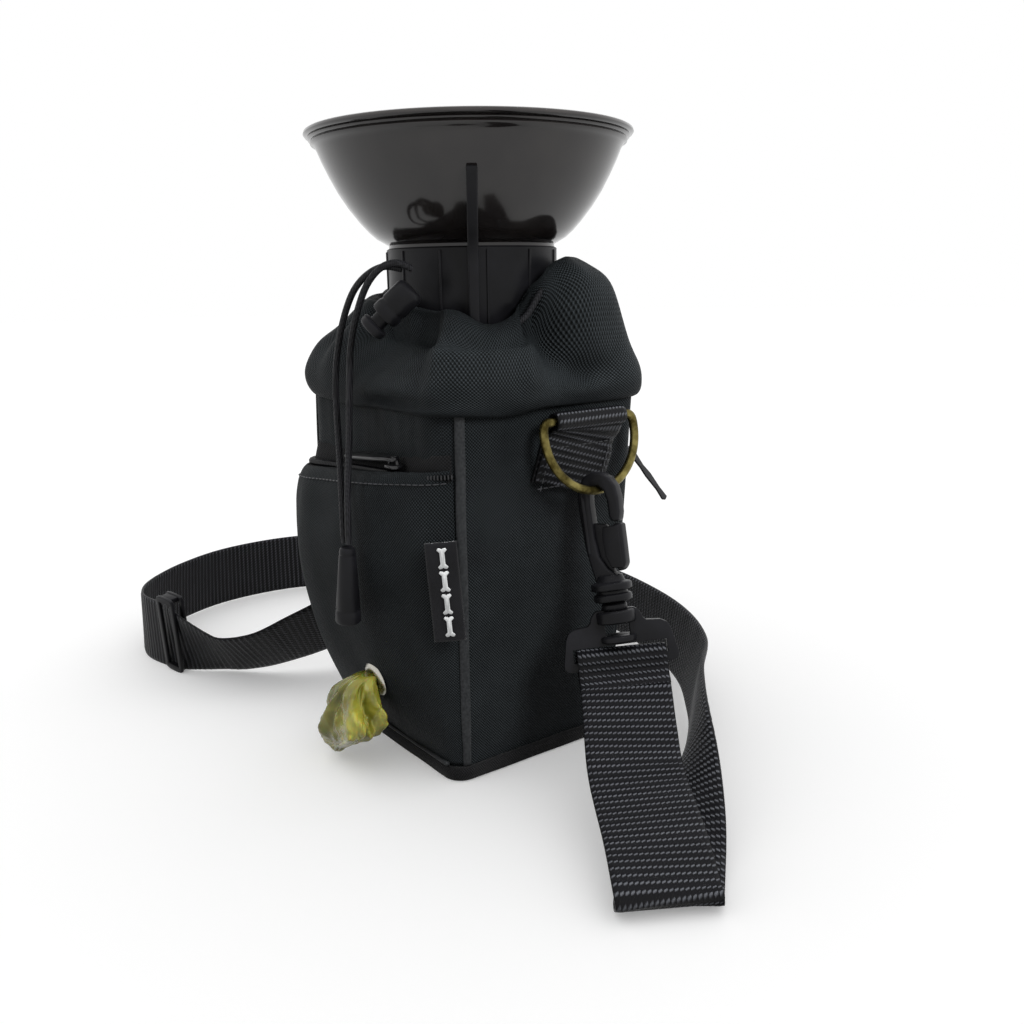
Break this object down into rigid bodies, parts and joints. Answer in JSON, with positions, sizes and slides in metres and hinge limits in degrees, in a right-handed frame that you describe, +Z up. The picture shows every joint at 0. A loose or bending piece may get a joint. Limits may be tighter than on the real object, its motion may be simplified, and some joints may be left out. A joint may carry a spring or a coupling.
{
  "type": "pet walking pouch with water bottle and bowl",
  "caption": "Drawstring canvas walking pouch holding a squeeze bottle with a screw-on drinking bowl, with a zipped pocket, bag dispenser hole and a shoulder strap on swivel snap hooks.",
  "frame": {"origin": "middle of the underside of the base, on the surface it stands on", "axes": "+Z up along the bottle; -Y is the front, with the zipped pocket; +X is the side with the visible D-ring"},
  "size_m": [0.4428, 0.2444, 0.2745],
  "materials": {
    "canvas": "woven canvas, matt",
    "binding_tape": "woven tape",
    "piping_tape": "folded reflective tape",
    "lining_cloth": "plain nylon",
    "webbing": "ribbed webbing",
    "hook_plastic": "moulded, lightly worn",
    "bowl_plastic": "moulded gloss",
    "bottle_plastic": "satin",
    "silicone": "soft",
    "antique_brass": "antique, dulled",
    "eyelet_metal": "satin",
    "zip_coil": "moulded",
    "cord_cover": "braided cover",
    "bag_film": "thin crinkled film",
    "card": "grey card",
    "spring_steel": "drawn wire"
  },
  "bodies": {
    "root": {"front_panel": "canvas", "back_panel": "canvas", "left_panel": "canvas", "right_panel": "canvas", "base_panel": "canvas", "base_binding": "binding_tape", "lining": "lining_cloth", "front_left_piping": "piping_tape", "front_right_piping": "piping_tape", "top_cuff": "canvas", "pocket_front": "canvas", "pocket_piping": "piping_tape", "bag_eyelet": "eyelet_metal", "eyelet_washer": "eyelet_metal", "pocket_zip_tape_lower": "binding_tape", "pocket_zip_tape_upper": "binding_tape", "pocket_zip_coil_lower": "zip_coil", "pocket_zip_coil_upper": "zip_coil", "rear_pocket": "canvas", "rear_zip": "zip_coil", "woven_label": "binding_tape", "belt_loop": "webbing", "ring_tab_right": "webbing", "ring_tab_left": "webbing", "hook_plate_right": "hook_plastic", "hook_plate_left": "hook_plastic", "shoulder_strap": "webbing", "drawcord_loop": "cord_cover"},
    "bottle": {"bottle": "bottle_plastic"},
    "bowl_seal": {"bottle_seal": "silicone"},
    "bowl": {"bowl": "bowl_plastic", "bowl_collar": "bowl_plastic", "water_tube": "bottle_plastic"},
    "pocket_slider": {"pocket_zip_slider": "zip_coil"},
    "pocket_puller": {"pocket_zip_puller": "zip_coil"},
    "rear_slider": {"rear_zip_slider": "zip_coil"},
    "rear_puller": {"rear_zip_puller": "zip_coil"},
    "d_ring_right": {"d_ring_right": "antique_brass"},
    "swivel_pin_right": {"swivel_pin_right": "hook_plastic"},
    "hook_right": {"hook_body_right": "hook_plastic"},
    "hook_gate_right": {"hook_gate_right": "hook_plastic"},
    "d_ring_left": {"d_ring_left": "antique_brass"},
    "swivel_pin_left": {"swivel_pin_left": "hook_plastic"},
    "hook_left": {"hook_body_left": "hook_plastic"},
    "hook_gate_left": {"hook_gate_left": "hook_plastic"},
    "tri_glide": {"tri_glide": "hook_plastic"},
    "cord_lock": {"cord_lock_barrel": "hook_plastic", "cord_lock_spring": "spring_steel", "drawcord_tail_left": "cord_cover", "drawcord_tail_right": "cord_cover", "cord_end": "hook_plastic"},
    "cord_lock_button": {"cord_lock_button": "hook_plastic"},
    "bag_roll": {"bag_roll": "bag_film", "roll_core": "card"},
    "bag_tail": {"bag_tail": "bag_film"}
  },
  "joints": [
    {"name": "bottle_lift", "type": "slide", "parent": "root", "child": "bottle", "axis": [0, 0, 1], "range_m": [0, 0.22]},
    {"name": "bowl_rise", "type": "slide", "parent": "bottle", "child": "bowl_seal", "axis": [0, 0, 1], "range_m": [0, 0.0081]},
    {"name": "bowl_turn", "type": "hinge", "parent": "bowl_seal", "child": "bowl", "pos_m": [0, 0, 0.21], "axis": [0, 0, 1], "range_deg": [0, 720]},
    {"name": "pocket_zip_slide", "type": "slide", "parent": "root", "child": "pocket_slider", "axis": [-1, 0, 0], "range_m": [0, 0.062]},
    {"name": "pocket_puller_flip", "type": "hinge", "parent": "pocket_slider", "child": "pocket_puller", "pos_m": [0.024, -0.05818, 0.138], "axis": [0, 1, 0], "range_deg": [0, 40]},
    {"name": "rear_zip_slide", "type": "slide", "parent": "root", "child": "rear_slider", "axis": [-1, 0, 0], "range_m": [0, 0.06]},
    {"name": "rear_puller_swing", "type": "hinge", "parent": "rear_slider", "child": "rear_puller", "pos_m": [0.0395, 0.0606, 0.133], "axis": [0, 1, 0], "range_deg": [-20, 70]},
    {"name": "d_ring_right_swing", "type": "hinge", "parent": "root", "child": "d_ring_right", "pos_m": [0.0606, 0.016, 0.1548], "axis": [0, 1, 0], "range_deg": [-10, 1]},
    {"name": "hook_right_tilt", "type": "hinge", "parent": "d_ring_right", "child": "swivel_pin_right", "pos_m": [0.06696, 0.016, 0.12487], "axis": [0, 1, 0], "range_deg": [-1.6, 15.2]},
    {"name": "hook_right_swivel", "type": "hinge", "parent": "swivel_pin_right", "child": "hook_right", "pos_m": [0.08263, 0.01341, 0.06659], "axis": [-0.2594, 0.043, 0.9648], "range_deg": [-40, 2]},
    {"name": "hook_gate_right_press", "type": "hinge", "parent": "hook_right", "child": "hook_gate_right", "pos_m": [0.08053, 0.01676, 0.09428], "axis": [0.3661, -0.9201, 0.1394], "range_deg": [0, 14], "stiffness_Nm_per_rad": 0.05, "springref_deg": -20.05},
    {"name": "d_ring_left_swing", "type": "hinge", "parent": "root", "child": "d_ring_left", "pos_m": [-0.0606, 0.016, 0.1548], "axis": [0, 1, 0], "range_deg": [-1, 10]},
    {"name": "hook_left_tilt", "type": "hinge", "parent": "d_ring_left", "child": "swivel_pin_left", "pos_m": [-0.06696, 0.016, 0.12487], "axis": [0, 1, 0], "range_deg": [-15.2, 1.6]},
    {"name": "hook_left_swivel", "type": "hinge", "parent": "swivel_pin_left", "child": "hook_left", "pos_m": [-0.08263, 0.01341, 0.06659], "axis": [0.2594, 0.043, 0.9648], "range_deg": [-2, 40]},
    {"name": "hook_gate_left_press", "type": "hinge", "parent": "hook_left", "child": "hook_gate_left", "pos_m": [-0.07052, 0.0124, 0.09178], "axis": [-0.3661, -0.9201, 0.1394], "range_deg": [0, 14], "stiffness_Nm_per_rad": 0.05, "springref_deg": -20.05},
    {"name": "tri_glide_shift", "type": "slide", "parent": "root", "child": "tri_glide", "axis": [0.9409, 0.3371, 0.0322], "range_m": [-0.004, 0.004]},
    {"name": "cord_lock_pull", "type": "slide", "parent": "root", "child": "cord_lock", "axis": [0, -0.6, 0.8], "range_m": [0, 0.008]},
    {"name": "cord_lock_press", "type": "slide", "parent": "cord_lock", "child": "cord_lock_button", "axis": [0.4618, 0.5793, 0.6717], "range_m": [0, 0.0042], "stiffness_N_per_m": 400, "springref_m": -0.003},
    {"name": "bag_roll_turn", "type": "hinge", "parent": "root", "child": "bag_roll", "pos_m": [-0.009, -0.0591, 0.08], "axis": [1, 0, 0], "range_deg": [0, 90]},
    {"name": "bag_pull", "type": "slide", "parent": "root", "child": "bag_tail", "axis": [0, -0.9764, -0.216], "range_m": [0, 0.0115]}
  ],
  "couplings": [
    {"joint": "bowl_rise", "follows": "bowl_turn", "m_per_rad": 0.00063662},
    {"joint": "hook_right_tilt", "follows": "d_ring_right_swing", "ratio": -1.5066},
    {"joint": "hook_left_tilt", "follows": "d_ring_left_swing", "ratio": -1.5066},
    {"joint": "bag_pull", "follows": "bag_roll_turn", "m_per_rad": 0.0072}
  ]
}
